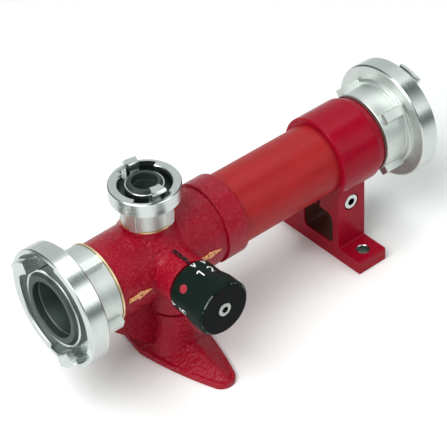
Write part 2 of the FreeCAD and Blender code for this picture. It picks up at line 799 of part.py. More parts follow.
def dial_parts():
    """Metering spindle with its ring seals, gland nut, stop pin, dial and the screw that holds it."""
    shaft_r = plug_r - running_slip
    gland_bore = stem_r + running_slip
    groove_half = 1.3 * spindle_ring_r
    plug_ring_at = plug_from + plug_ring_setback
    stem_ring_at = (plug_end + dial_boss_reach) / 2
    spindle = lathe([
        (0, plug_from + end_gap, 0),
        (shaft_r, plug_from + end_gap, -turned_edge),
        (shaft_r, plug_end - end_gap, -turned_edge),
        (stem_r, plug_end - end_gap, 0),
        (stem_r, stem_end, -turned_edge),
        (0, stem_end, 0)])
    metering_at = plug_end - end_gap - plug_land - metering_groove
    core = rod(metering_core_r, metering_at, metering_at + metering_groove)
    core.translate(V(metering_offset, 0, 0))
    metering_cut = rod(plug_r + overcut, metering_at, metering_at + metering_groove).cut(core)
    centre_hole = rod(metering_port_r, plug_from, metering_at + metering_groove / 2)
    cross_hole = Part.makeCylinder(
        metering_groove / 2.5, plug_r, V(0, 0, metering_at + metering_groove / 2), V(-1, 0, 0))
    plug_groove = ring(
        shaft_r - 2 * spindle_ring_r, plug_r + overcut, plug_ring_at - groove_half, plug_ring_at + groove_half)
    stem_groove = ring(
        stem_r - 2 * spindle_ring_r, stem_r + overcut, stem_ring_at - groove_half, stem_ring_at + groove_half)
    thread_hole = rod(dial_screw_r, stem_end - dial_screw_length + dial_web, stem_end + overcut)
    spindle = spindle.cut([metering_cut, centre_hole, cross_hole, plug_groove, stem_groove, thread_hole])
    seals = Part.Compound([
        Part.makeTorus(shaft_r - spindle_ring_r - running_slip, spindle_ring_r - running_slip, V(0, 0, plug_ring_at)),
        Part.makeTorus(stem_r - spindle_ring_r - running_slip, spindle_ring_r - running_slip, V(0, 0, stem_ring_at))])
    gland = ring(gland_bore, gland_r - thread_slip, plug_end, dial_boss_reach - end_gap, -turned_edge)
    angle = math.radians(stop_angle)
    pin = lathe([
        (0, plug_end + end_gap, 0),
        (stop_pin_r - running_slip, plug_end + end_gap, 0),
        (stop_pin_r - running_slip, dial_at + 0.5 * stop_depth, -turned_edge),
        (0, dial_at + 0.5 * stop_depth, 0)])
    pin.translate(V(stop_circle_r * math.cos(angle), stop_circle_r * math.sin(angle), 0))
    face_at = dial_at + dial_length
    washer_at = face_at - dial_recess
    head_at = washer_at + washer_thickness
    washer = ring(dial_screw_r + thread_slip, washer_r, washer_at, head_at)
    screw = lathe([
        (0, washer_at - dial_screw_length + dial_web, 0),
        (dial_screw_r - running_slip, washer_at - dial_screw_length + dial_web, -turned_edge),
        (dial_screw_r - running_slip, head_at, 0),
        (dial_screw_head_r, head_at, 0),
        (dial_screw_head_r, head_at + dial_screw_head, turned_edge),
        (0, head_at + dial_screw_head, 0)])
    screw = screw.cut(hexagon(dial_screw_key, head_at + 0.3 * dial_screw_head, head_at + dial_screw_head + overcut))
    return {
        "metering_spindle": out_dial(spindle),
        "spindle_seals": out_dial(seals),
        "gland_nut": out_dial(gland),
        "stop_pin": out_dial(pin),
        "dial_knob": out_dial(dial_knob(washer_at)),
        "knob_washer": out_dial(washer),
        "knob_screw": out_dial(screw),
    }


def dial_knob(washer_at):
    """Moulded dial: plain scale skirt, larger bevelled grip, and a stop track behind with one stop rib."""
    face_at = dial_at + dial_length
    step_at = dial_at + dial_skirt_length
    knob = lathe([
        (0, dial_at, 0),
        (dial_skirt_r, dial_at, -dial_back_edge),
        (dial_skirt_r, step_at, 0),
        (dial_grip_root_r, step_at, 0),
        (dial_grip_r, step_at + dial_grip_rise, 0),
        (dial_grip_r, face_at, -dial_rim_edge),
        (0, face_at, 0)])
    bore = rod(stem_r + running_slip, dial_at - overcut, stem_end + end_gap)
    screw_hole = rod(dial_screw_r + thread_slip, stem_end, face_at + overcut)
    recess = rod(washer_r + thread_slip, washer_at, face_at + overcut)
    track_in = stop_circle_r - stop_track / 2
    track_out = stop_circle_r + stop_track / 2
    pin_half = math.degrees(math.asin(stop_pin_r / stop_circle_r))
    rib_turn = 360 - dial_turn_down - dial_turn_up - 2 * pin_half - 2 * stop_spare
    rib_middle = stop_angle + dial_turn_down + (360 - dial_turn_down - dial_turn_up) / 2
    track = lathe([
        (track_in, dial_at - overcut, 0),
        (track_out, dial_at - overcut, 0),
        (track_out, dial_at + stop_depth, 0),
        (track_in, dial_at + stop_depth, 0)], rib_middle + rib_turn / 2, 360 - rib_turn)
    return knob.cut([bore, screw_hole, recess, track]).removeSplitter()


def outlet_bracket():
    """Rear bracket casting: clamp collar round the tube, two legs with a window, and a drilled base."""
    collar = along_tube(lathe([
        (0, -bracket_front, 0),
        (bracket_collar_r, -bracket_front, cast_round),
        (bracket_collar_r, bracket_back - bracket_back_taper, boss_blend),
        (bracket_collar_r - bracket_back_drop, bracket_back, cast_edge),
        (0, bracket_back, 0)]))
    shoulder = flow_height - 0.5 * bracket_collar_r
    legs = prism_x([
        (-base_half, 0, 0),
        (base_half, 0, 0),
        (base_half, base_thickness, base_corner),
        (leg_outer, base_thickness, base_fillet),
        (leg_outer, shoulder, 0),
        (-leg_outer, shoulder, 0),
        (-leg_outer, base_thickness, base_fillet),
        (-base_half, base_thickness, base_corner)], -bracket_half, bracket_half)
    window = prism_x([
        (-leg_inner, window_floor, window_low_round),
        (leg_inner, window_floor, window_low_round),
        (leg_inner, window_top, window_round),
        (-leg_inner, window_top, window_round)], -bracket_half - overcut, bracket_half + overcut)
    slit = block((-bracket_front - overcut, bracket_back + overcut), (-slit_half, slit_half), (window_top - overcut, flow_height))
    tube_bore = along_tube(rod(tube_r + turned_slip, -bracket_front - overcut, bracket_back + overcut))
    holes = []
    for side in (-1, 1):
        hole = lathe([
            (0, -overcut, 0),
            (foot_hole_r, -overcut, 0),
            (foot_hole_r, base_thickness - foot_hole_edge, 0),
            (foot_hole_r + foot_hole_edge, base_thickness, 0),
            (foot_hole_r + foot_hole_edge, base_thickness + overcut, 0),
            (0, base_thickness + overcut, 0)])
        hole.translate(V(0, side * foot_hole_spacing / 2, 0))
        holes.append(hole)
    screw_at = V(0, -leg_outer, clamp_screw_height)
    seat_at = clamp_head + end_gap
    far_end = leg_outer + leg_inner + end_gap
    pocket = frame_at(rod(clamp_head_r + head_room, -overcut, seat_at), screw_at, V(0, 1, 0), V(1, 0, 0))
    near_hole = frame_at(rod(clamp_screw_r + thread_slip, 0, leg_outer), screw_at, V(0, 1, 0), V(1, 0, 0))
    far_hole = frame_at(rod(clamp_screw_r, leg_outer, far_end), screw_at, V(0, 1, 0), V(1, 0, 0))
    solid = collar.fuse(legs)
    return solid.cut([window, slit, tube_bore, pocket, near_hole, far_hole] + holes).removeSplitter()


def clamp_screw():
    """Socket cap screw that draws the bracket's collar together."""
    seat_at = clamp_head + end_gap
    tip = leg_outer + leg_inner
    screw = lathe([
        (0, end_gap, 0),
        (clamp_head_r, end_gap, turned_edge),
        (clamp_head_r, seat_at, 0),
        (clamp_screw_r - running_slip, seat_at, 0),
        (clamp_screw_r - running_slip, tip, -turned_edge),
        (0, tip, 0)])
    screw = screw.cut(hexagon(clamp_key, 0, 0.55 * clamp_head))
    return frame_at(screw, V(0, -leg_outer, clamp_screw_height), V(0, 1, 0), V(1, 0, 0))


def main():
    """Builds every piece in its place and writes one file for each."""
    pieces = {"injector_body": injector_body()}
    pieces.update(water_parts())
    pieces.update(couplings())
    pieces.update(suction_parts())
    pieces.update(dial_parts())
    pieces["outlet_bracket"] = outlet_bracket()
    pieces["clamp_screw"] = clamp_screw()
    os.makedirs("parts", exist_ok=True)
    for name, shape in pieces.items():
        shape.exportStep(os.path.join("parts", name + ".step"))
        print(name, "valid" if shape.isValid() else "NOT VALID", len(shape.Solids), round(shape.Volume / 1000, 2))


main()
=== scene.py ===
import json
import math

import bpy
import numpy as np
from bpy.props import FloatProperty, FloatVectorProperty, PointerProperty
from mathutils import Matrix, Vector


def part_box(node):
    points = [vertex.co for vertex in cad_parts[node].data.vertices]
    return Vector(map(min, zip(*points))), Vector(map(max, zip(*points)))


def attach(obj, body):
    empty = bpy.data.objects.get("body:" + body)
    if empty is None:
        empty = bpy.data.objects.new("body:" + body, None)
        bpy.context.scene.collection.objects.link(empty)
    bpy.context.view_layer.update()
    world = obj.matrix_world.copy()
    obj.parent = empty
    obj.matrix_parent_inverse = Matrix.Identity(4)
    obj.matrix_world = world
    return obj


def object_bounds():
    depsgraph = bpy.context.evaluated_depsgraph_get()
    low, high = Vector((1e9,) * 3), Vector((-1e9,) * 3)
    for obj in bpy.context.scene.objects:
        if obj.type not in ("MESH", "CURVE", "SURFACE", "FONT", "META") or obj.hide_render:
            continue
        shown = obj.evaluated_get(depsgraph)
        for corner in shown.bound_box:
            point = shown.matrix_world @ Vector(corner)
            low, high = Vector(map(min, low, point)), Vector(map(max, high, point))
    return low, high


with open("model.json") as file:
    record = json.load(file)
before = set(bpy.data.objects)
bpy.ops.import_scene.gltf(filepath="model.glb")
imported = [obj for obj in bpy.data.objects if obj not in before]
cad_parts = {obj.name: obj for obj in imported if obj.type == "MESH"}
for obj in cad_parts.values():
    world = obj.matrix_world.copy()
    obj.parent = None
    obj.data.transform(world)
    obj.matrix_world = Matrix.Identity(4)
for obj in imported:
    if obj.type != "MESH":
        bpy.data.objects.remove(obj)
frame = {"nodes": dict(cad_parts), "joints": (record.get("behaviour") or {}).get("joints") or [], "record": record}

bl_info = {
    "name": "Foam inductor looks",
    "version": (1, 1, 0),
    "blender": (4, 5, 0),
    "location": "View3D > Sidebar > Foam inductor",
    "description": "Finishes, dial scale and studio for the foam inductor",
    "category": "Object",
}

MM = 0.001
MATH = "ShaderNodeMath"
VECTOR = "ShaderNodeVectorMath"
SPLIT = "ShaderNodeSeparateXYZ"
NOISE = "ShaderNodeTexNoise"
MIX = "ShaderNodeMix"
BUMP = "ShaderNodeBump"
RANGE = "ShaderNodeMapRange"
CAD_BOX = [list(corner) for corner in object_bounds()]
DIAL_JOINT = next(j for j in frame["joints"] if j["name"] == "dial_turn")
DIAL_AXIS = Vector(DIAL_JOINT["pos_m"])
MOUNTS = {m["name"]: m for m in frame["record"]["mounts"]}

# The body's skin, arrows and index bar, measured from the dial axis
SKIN_RADIUS = 31.94 * MM
SKIN_TAPER = 1.4 / 95.6
ARROW_MIDDLES = (-34.5 * MM, 32.4 * MM)
ARROW_HALF = (11.4 * MM, 4.2 * MM)
ARROW_EDGE = 0.25 * MM
INDEX_HALF = (2.0 * MM, 9.6 * MM)
INDEX_MIDDLE = -38.2 * MM
INDEX_RISE = 20.2 * MM

# The bracket's drilled holes and its window, measured from the frame's origin
HOLE_EDGE = 0.55 * MM
HOLE_RISE = 20.0 * MM
WINDOW_HALF = (13.0 * MM, 18.0 * MM, 18.0 * MM)
WINDOW_RISE = 30.5 * MM

# Each coupling's ring width and its radii of channel and bore in mm, the way its lugs point, and the two
# colours of the painted shade darkening its channel
COUPLING_ZONES = {
    "inlet": dict(
        ring=16.0, channel=45.5, bore=25.0, lugs=(0.0, 0.616, 0.788), hollow_shade=("AEB7B3", "CAD1CD")),
    "outlet": dict(
        ring=16.0, channel=45.5, bore=25.0, lugs=(0.0, -0.216, 0.976), hollow_shade=("AEB7B3", "CAD1CD")),
    "suction": dict(
        ring=12.6, channel=25.2, bore=11.0, lugs=(0.174, 0.985, 0.0), hollow_shade=("39423F", "59635F"))}
LUG_HALF_COSINE = math.cos(math.radians(15.5))

# Depths behind a coupling's face: where the painted shade in its channel begins and is full, and where
# the painted highlight ring lies on its bore's wall
CHANNEL_FADE = (-1.0 * MM, -4.5 * MM)
BORE_GLINT = -5.2 * MM
BORE_GLINT_HALF = 0.8 * MM

# The camera: its aim, its azimuth, elevation and roll in degrees, and its lens and sensor in mm
CAMERA_AIM = Vector((-114.1, -1.7, 82.0)) * MM
CAMERA_TURNS = (-38.55, 39.71, -3.04)
CAMERA_LENS = 166.24
CAMERA_SENSOR = 36.0

# The studio's soft lights: place in m, width in m and power in W
LIGHTS = {
    "key_light": ((-1.1, -0.25, 1.5), 1.3, 32.0),
    "top_light": ((0.43, 0.19, 1.45), 0.8, 6.0),
    "front_panel": ((0.42, -1.1, 0.95), 0.95, 6.0),
    "back_panel": ((0.99, 1.68, 1.08), 2.55, 13.5),
    "side_panel": ((-2.19, 0.15, 0.63), 1.35, 12.0)}
FLOOR_HALF = 6.0
FLOOR_DROP = 0.2 * MM


def linear(code):
    """sRGB hex colour as linear red, green and blue."""
    parts = [int(code[i:i + 2], 16) / 255 for i in (0, 2, 4)]
    return tuple(c / 12.92 if c <= 0.04045 else ((c + 0.055) / 1.055) ** 2.4 for c in parts)


def rgba(colour, share=1.0):
    """Colour, made darker or lighter by a share, with full alpha."""
    return tuple(min(1.0, share * c) for c in colour) + (1.0,)


class InductorSizes(bpy.types.PropertyGroup):
    """Sizes of what is printed on the dial, and the camera's distance."""
    skirt_radius: FloatProperty(
        name="Skirt radius", description="Radius of the dial skirt that carries the scale",
        default=21.0 * MM, unit="LENGTH")
    digit_height: FloatProperty(
        name="Digit height", description="Height of the printed numbers", default=6.8 * MM, unit="LENGTH")
    stroke_width: FloatProperty(
        name="Stroke width", description="Width of the printed strokes", default=1.15 * MM, unit="LENGTH")
    dot_radius: FloatProperty(
        name="Dot radius", description="Radius of the closed-position dot", default=3.4 * MM, unit="LENGTH")
    camera_distance: FloatProperty(
        name="Camera distance", description="From the camera to its aim", default=1.5909, unit="LENGTH")


class InductorColours(bpy.types.PropertyGroup):
    """Paint, plastic and print colours."""
    enamel: FloatVectorProperty(
        name="Casting enamel", description="Red of the sand castings", subtype="COLOR",
        default=linear("960822"))
    tube_enamel: FloatVectorProperty(
        name="Tube enamel", description="Red of the smooth tube", subtype="COLOR",
        default=linear("9E2024"))
    arrow_paint: FloatVectorProperty(
        name="Arrow paint", description="Gold of the raised flow arrows", subtype="COLOR",
        default=linear("E2A06C"))
    dial_plastic: FloatVectorProperty(
        name="Dial plastic", description="Near-black of the dial", subtype="COLOR",
        default=linear("111D19"))
    print_white: FloatVectorProperty(
        name="Scale white", description="White of the dial's scale", subtype="COLOR",
        default=linear("F4F5F2"))
    dot_red: FloatVectorProperty(
        name="Dot red", description="Red of the closed-position dot", subtype="COLOR",
        default=linear("A81F31"))


def add(tree, kind, inputs=None, **settings):
    """Adds one node, applies its settings, then links or sets each named input."""
    made = tree.nodes.new(kind)
    for name, value in settings.items():
        setattr(made, name, value)
    for name, value in (inputs or {}).items():
        if isinstance(value, bpy.types.NodeSocket):
            tree.links.new(value, made.inputs[name])
        else:
            made.inputs[name].default_value = value
    return made


def start_material(name):
    """Empty node material: its tree, its surface shader and the Object coordinates."""
    material = bpy.data.materials.new(name)
    material.use_nodes = True
    tree = material.node_tree
    tree.nodes.clear()
    shader = add(tree, "ShaderNodeBsdfPrincipled")
    add(tree, "ShaderNodeOutputMaterial", {"Surface": shader.outputs["BSDF"]})
    point = add(tree, "ShaderNodeTexCoord").outputs["Object"]
    return material, tree, shader, point


def arrow_mask(tree, point):
    """1 on the raised flow arrows: outside the casting's tapered skin, beside the dial, at its height."""
    offset = add(tree, VECTOR, {0: point, 1: DIAL_AXIS}, operation="SUBTRACT").outputs[0]
    along, _, rise = add(tree, SPLIT, {"Vector": offset}).outputs
    across = add(tree, VECTOR, {0: offset, 1: (0, 1, 1)}, operation="MULTIPLY").outputs[0]
    radius = add(tree, VECTOR, {0: across}, operation="LENGTH").outputs["Value"]
    level = add(tree, MATH, {0: along, 1: -SKIN_TAPER, 2: radius}, operation="MULTIPLY_ADD").outputs[0]
    raised = add(tree, MATH, {0: level, 1: SKIN_RADIUS + ARROW_EDGE}, operation="GREATER_THAN").outputs[0]
    band = add(tree, MATH, {0: rise, 1: 0.0, 2: ARROW_HALF[1]}, operation="COMPARE").outputs[0]
    mask = add(tree, MATH, {0: raised, 1: band}, operation="MULTIPLY").outputs[0]
    spans = [
        add(tree, MATH, {0: along, 1: middle, 2: ARROW_HALF[0]}, operation="COMPARE").outputs[0]
        for middle in ARROW_MIDDLES]
    both = add(tree, MATH, {0: spans[0], 1: spans[1]}, operation="ADD").outputs[0]
    return add(tree, MATH, {0: mask, 1: both}, operation="MULTIPLY").outputs[0]


def index_mask(tree, point):
    """1 on the index bar that stands on top of the dial boss."""
    offset = add(tree, VECTOR, {0: point, 1: DIAL_AXIS}, operation="SUBTRACT").outputs[0]
    along, out, rise = add(tree, SPLIT, {"Vector": offset}).outputs
    above = add(tree, MATH, {0: rise, 1: INDEX_RISE}, operation="GREATER_THAN").outputs[0]
    wide = add(tree, MATH, {0: along, 1: 0.0, 2: INDEX_HALF[0]}, operation="COMPARE").outputs[0]
    long = add(tree, MATH, {0: out, 1: INDEX_MIDDLE, 2: INDEX_HALF[1]}, operation="COMPARE").outputs[0]
    mask = add(tree, MATH, {0: above, 1: wide}, operation="MULTIPLY").outputs[0]
    return add(tree, MATH, {0: mask, 1: long}, operation="MULTIPLY").outputs[0]


def bolt_hole_mask(tree, point):
    """1 inside the two drilled foot holes, whose walls are bare metal."""
    dims = MOUNTS["foot_bolts"]["dims"]
    centre = (0.0, dims["spacing_y_mm"] / 2 * MM, 0.0)
    folded = add(tree, VECTOR, {0: point}, operation="ABSOLUTE").outputs[0]
    offset = add(tree, VECTOR, {0: folded, 1: centre}, operation="SUBTRACT").outputs[0]
    plan = add(tree, VECTOR, {0: offset, 1: (1, 1, 0)}, operation="MULTIPLY").outputs[0]
    radius = add(tree, VECTOR, {0: plan}, operation="LENGTH").outputs["Value"]
    reach = dims["hole_r_mm"] * MM + HOLE_EDGE
    near = add(tree, MATH, {0: radius, 1: reach}, operation="LESS_THAN").outputs[0]
    _, _, rise = add(tree, SPLIT, {"Vector": point}).outputs
    low = add(tree, MATH, {0: rise, 1: HOLE_RISE}, operation="LESS_THAN").outputs[0]
    return add(tree, MATH, {0: near, 1: low}, operation="MULTIPLY").outputs[0]


def window_shade_mask(tree, point):
    """1 on the walls of the bracket's window, which are painted dark brown as painted shade."""
    folded = add(tree, VECTOR, {0: point}, operation="ABSOLUTE").outputs[0]
    along, aside, rise = add(tree, SPLIT, {"Vector": folded}).outputs
    inside = add(tree, MATH, {0: along, 1: WINDOW_HALF[0]}, operation="LESS_THAN").outputs[0]
    between = add(tree, MATH, {0: aside, 1: WINDOW_HALF[1]}, operation="LESS_THAN").outputs[0]
    level = add(tree, MATH, {0: rise, 1: WINDOW_RISE, 2: WINDOW_HALF[2]}, operation="COMPARE").outputs[0]
    mask = add(tree, MATH, {0: inside, 1: between}, operation="MULTIPLY").outputs[0]
    return add(tree, MATH, {0: mask, 1: level}, operation="MULTIPLY").outputs[0]


def cast_enamel(name, colours, relief_mm, grain, specular):
    """Sprayed gloss enamel over cast aluminium: the sand's lumps show through as broken highlights.

    The relief is the height of those lumps, and the grain is how much paler the tops of the tallest lumps
    are painted, painted glints standing in for the sparkle of light on the gloss: both are strong on the
    body, and on the bracket the paint nearly fills them. The raised arrows are picked out in gold and the
    index bar in black, both worn through in specks. The bracket's window is painted dark brown inside as
    painted shade, and the drilled holes are bare.
    """
    lump, grit, pool = 3.2 * MM, 1.5 * MM, 24.0 * MM
    # Pink of the painted glints, black of the index bar, dark brown of the painted shade in the window, bare metal
    # of the holes
    pale, black, brown, metal = (rgba(linear(code)) for code in ("CC4A58", "0B0B0B", "56302B", "A9B0AA"))
    material, tree, shader, point = start_material(name)
    lumps = add(tree, NOISE, {
        "Vector": point, "Scale": 1 / lump, "Detail": 1.5, "Roughness": 0.55}).outputs["Fac"]
    sand = add(tree, NOISE, {
        "Vector": point, "Scale": 1 / grit, "Detail": 1.5, "Roughness": 0.6}).outputs["Fac"]
    pooled = add(tree, NOISE, {
        "Vector": point, "Scale": 1 / pool, "Detail": 3.0, "Roughness": 0.6}).outputs["Fac"]
    height = add(tree, MATH, {0: sand, 1: 0.7, 2: lumps}, operation="MULTIPLY_ADD").outputs[0]
    # Painted glints: the tallest lumps are painted paler pink, standing in for sparkle of light on the gloss
    thin = add(tree, RANGE, {
        "Value": height, "From Min": 0.9, "From Max": 1.15, "To Max": grain}).outputs["Result"]
    coat = add(tree, MIX, {
        "Factor": pooled,
        "A": rgba(colours.enamel, 0.8),
        "B": rgba(colours.enamel, 1.1)}, data_type="RGBA").outputs["Result"]
    paint = add(tree, MIX, {"Factor": thin, "A": coat, "B": pale}, data_type="RGBA").outputs["Result"]
    gold = add(tree, MIX, {
        "Factor": lumps,
        "A": rgba(colours.arrow_paint, 0.7),
        "B": rgba(colours.arrow_paint, 1.45)}, data_type="RGBA").outputs["Result"]
    kept = add(tree, MATH, {0: sand, 1: 0.41}, operation="GREATER_THAN").outputs[0]
    arrows = add(tree, MATH, {0: arrow_mask(tree, point), 1: kept}, operation="MULTIPLY").outputs[0]
    index = add(tree, MATH, {0: index_mask(tree, point), 1: kept}, operation="MULTIPLY").outputs[0]
    # Painted shade: the walls inside the bracket's window are painted dark brown
    window_shade = window_shade_mask(tree, point)
    bare = bolt_hole_mask(tree, point)
    gilded = add(tree, MIX, {"Factor": arrows, "A": paint, "B": gold}, data_type="RGBA").outputs["Result"]
    marked = add(tree, MIX, {"Factor": index, "A": gilded, "B": black}, data_type="RGBA").outputs["Result"]
    shaded = add(tree, MIX, {"Factor": window_shade, "A": marked, "B": brown}, data_type="RGBA").outputs["Result"]
    colour = add(tree, MIX, {"Factor": bare, "A": shaded, "B": metal}, data_type="RGBA").outputs["Result"]
    gloss = add(tree, MATH, {0: sand, 1: 0.16, 2: 0.16}, operation="MULTIPLY_ADD").outputs[0]
    relief = add(tree, BUMP, {"Height": height, "Distance": relief_mm * MM, "Strength": 0.6})
    tree.links.new(colour, shader.inputs["Base Color"])
    tree.links.new(bare, shader.inputs["Metallic"])
    tree.links.new(gloss, shader.inputs["Roughness"])
    tree.links.new(relief.outputs["Normal"], shader.inputs["Normal"])
    shader.inputs["Specular IOR Level"].default_value = specular
    return material


def drawn_tube_enamel(colours):
    """Sprayed satin enamel on a drawn tube: soft broad sheen, cloudy streaks along it, faint orange peel."""
    cloud, dimple, stretch = 11.0 * MM, 2.2 * MM, (0.3, 1.0, 1.0)
    material, tree, shader, point = start_material("drawn_tube_red_enamel")
    drawn = add(tree, "ShaderNodeMapping", {"Vector": point, "Scale": stretch}).outputs["Vector"]
    dust = add(tree, NOISE, {
        "Vector": drawn, "Scale": 1 / cloud, "Detail": 4.0, "Roughness": 0.6}).outputs["Fac"]
    peel = add(tree, NOISE, {"Vector": point, "Scale": 1 / dimple, "Detail": 1.0}).outputs["Fac"]
    paint = add(tree, MIX, {
        "Factor": dust,
        "A": rgba(colours.tube_enamel, 0.72),
        "B": rgba(colours.tube_enamel, 1.2)}, data_type="RGBA").outputs["Result"]
    gloss = add(tree, MATH, {0: dust, 1: 0.16, 2: 0.32}, operation="MULTIPLY_ADD").outputs[0]
    relief = add(tree, BUMP, {"Height": peel, "Distance": 0.05 * MM, "Strength": 0.5})
    tree.links.new(paint, shader.inputs["Base Color"])
    tree.links.new(gloss, shader.inputs["Roughness"])
    tree.links.new(relief.outputs["Normal"], shader.inputs["Normal"])
    shader.inputs["Specular IOR Level"].default_value = 0.14
    return material


def coupling_aluminium(name, mount, zones):
    """Pressure-cast aluminium: the claw ring is turned bright, the hub behind it keeps its pale cast skin.

    The channel and the bore are darkened with painted shade, all but a thin ring on the bore's wall behind
    the seal, which is a painted highlight, and the roots of the lugs, painted near-white as painted light
    where they lie shaded under the hooks.
    Turning marks are rings about the coupling's axis, drawn coarser than real feed marks so that they show.
    """
    feed, pit, blotch = 1.4 * MM, 1.3 * MM, 14.0 * MM
    ring_back = (0.3 - zones["ring"]) * MM
    # Painted light for the lug roots and painted shade for the bore
    lug_root_light, bore_shade = rgba(linear("F0F3F1")), rgba(linear("7A8883"))
    material, tree, shader, point = start_material(name)

    # Place on the coupling: depth along its axis, radius about it, and the lean towards its lugs
    outward = mount["axis"]
    offset = add(tree, VECTOR, {0: point, 1: mount["pos_m"]}, operation="SUBTRACT").outputs[0]
    depth = add(tree, VECTOR, {0: offset, 1: outward}, operation="DOT_PRODUCT").outputs["Value"]
    sideways = add(tree, VECTOR, {0: offset, 1: outward}, operation="CROSS_PRODUCT").outputs[0]
    radius = add(tree, VECTOR, {0: sideways}, operation="LENGTH").outputs["Value"]
    spun = add(tree, "ShaderNodeCombineXYZ", {"X": radius, "Y": depth, "Z": 0.0}).outputs["Vector"]
    lean = add(tree, VECTOR, {0: offset, 1: zones["lugs"]}, operation="DOT_PRODUCT").outputs["Value"]
    reach = add(tree, MATH, {0: lean}, operation="ABSOLUTE").outputs[0]

    # Zones: turned ring, painted shade in the channel between the lugs, painted light on the lug roots,
    # painted shade in the bore and a painted highlight ring at its edge
    turned = add(tree, MATH, {0: depth, 1: ring_back}, operation="GREATER_THAN").outputs[0]
    sunk = add(tree, RANGE, {
        "Value": depth,
        "From Min": CHANNEL_FADE[0],
        "From Max": CHANNEL_FADE[1]}, interpolation_type="SMOOTHSTEP").outputs["Result"]
    within = add(tree, MATH, {0: radius, 1: zones["channel"] * MM}, operation="LESS_THAN").outputs[0]
    ringed = add(tree, MATH, {0: turned, 1: within}, operation="MULTIPLY").outputs[0]
    hollow = add(tree, MATH, {0: ringed, 1: sunk}, operation="MULTIPLY").outputs[0]
    # Painted light: the lug roots, which sit shaded under the hooks, are painted near-white
    sector = add(tree, MATH, {0: radius, 1: LUG_HALF_COSINE}, operation="MULTIPLY").outputs[0]
    facing = add(tree, MATH, {0: reach, 1: sector}, operation="GREATER_THAN").outputs[0]
    root = add(tree, MATH, {0: hollow, 1: facing}, operation="MULTIPLY").outputs[0]
    channel = add(tree, MATH, {0: hollow, 1: root}, operation="SUBTRACT").outputs[0]
    bore = add(tree, MATH, {0: radius, 1: zones["bore"] * MM}, operation="LESS_THAN").outputs[0]
    hollow_shade = add(tree, MATH, {0: channel, 1: bore}, operation="MAXIMUM").outputs[0]
    # Painted highlight: a thin bright ring on the bore's wall just behind the seal
    near = add(tree, MATH, {0: depth, 1: BORE_GLINT, 2: BORE_GLINT_HALF}, operation="COMPARE").outputs[0]
    edge = add(tree, MATH, {0: bore, 1: near}, operation="MULTIPLY").outputs[0]

    # Marks, cast skin and stains, and the colour, gloss and relief that they give each zone
    marks = add(tree, NOISE, {
        "Vector": spun, "Scale": 1 / feed, "Detail": 1.0, "Roughness": 0.6}).outputs["Fac"]
    skin = add(tree, NOISE, {
        "Vector": point, "Scale": 1 / pit, "Detail": 3.0, "Roughness": 0.6}).outputs["Fac"]
    stain = add(tree, NOISE, {
        "Vector": point, "Scale": 1 / blotch, "Detail": 3.0, "Roughness": 0.6}).outputs["Fac"]
    # Bright is the turned ring, dull the cast skin, and dark the painted shade of the channel
    bright, dull, dark = (
        add(tree, MIX, {
            "Factor": stain,
            "A": rgba(linear(low)),
            "B": rgba(linear(high))}, data_type="RGBA").outputs["Result"]
        for low, high in (("BCC2C0", "D0D4D2"), ("C2C8C4", "DADEDB"), zones["hollow_shade"]))
    colour = dull
    for zone, shade in ((turned, bright), (channel, dark), (root, lug_root_light), (bore, bore_shade), (edge, bright)):
        colour = add(tree, MIX, {
            "Factor": zone, "A": colour, "B": shade}, data_type="RGBA").outputs["Result"]
    fine = add(tree, MATH, {0: marks, 1: 0.16, 2: 0.18}, operation="MULTIPLY_ADD").outputs[0]
    coarse = add(tree, MATH, {0: skin, 1: 0.2, 2: 0.38}, operation="MULTIPLY_ADD").outputs[0]
    worked = add(tree, MIX, {"Factor": turned, "A": coarse, "B": fine}).outputs["Result"]
    gloss = add(tree, MIX, {"Factor": hollow_shade, "A": worked, "B": 0.5}).outputs["Result"]
    height = add(tree, MIX, {"Factor": turned, "A": skin, "B": marks}).outputs["Result"]
    relief = add(tree, BUMP, {"Height": height, "Distance": 0.05 * MM, "Strength": 0.25})
    tree.links.new(colour, shader.inputs["Base Color"])
    tree.links.new(gloss, shader.inputs["Roughness"])
    tree.links.new(relief.outputs["Normal"], shader.inputs["Normal"])
    shader.inputs["Metallic"].default_value = 1.0
    return material


def pressed_sheet(name, dark, light):
    """Moulded rubber or pressed fibre: dull, with a faint grey bloom and a fine mould grain."""
    bloom, pore = 6.0 * MM, 0.9 * MM
    material, tree, shader, point = start_material(name)
    cloud = add(tree, NOISE, {"Vector": point, "Scale": 1 / bloom, "Detail": 3.0}).outputs["Fac"]
    mould = add(tree, NOISE, {"Vector": point, "Scale": 1 / pore, "Detail": 2.0}).outputs["Fac"]
    colour = add(tree, MIX, {
        "Factor": cloud,
        "A": rgba(linear(dark)),
        "B": rgba(linear(light))}, data_type="RGBA").outputs["Result"]
    relief = add(tree, BUMP, {"Height": mould, "Distance": 0.05 * MM, "Strength": 0.4})
    tree.links.new(colour, shader.inputs["Base Color"])
    tree.links.new(relief.outputs["Normal"], shader.inputs["Normal"])
    shader.inputs["Roughness"].default_value = 0.45
    shader.inputs["Specular IOR Level"].default_value = 0.35
    return material


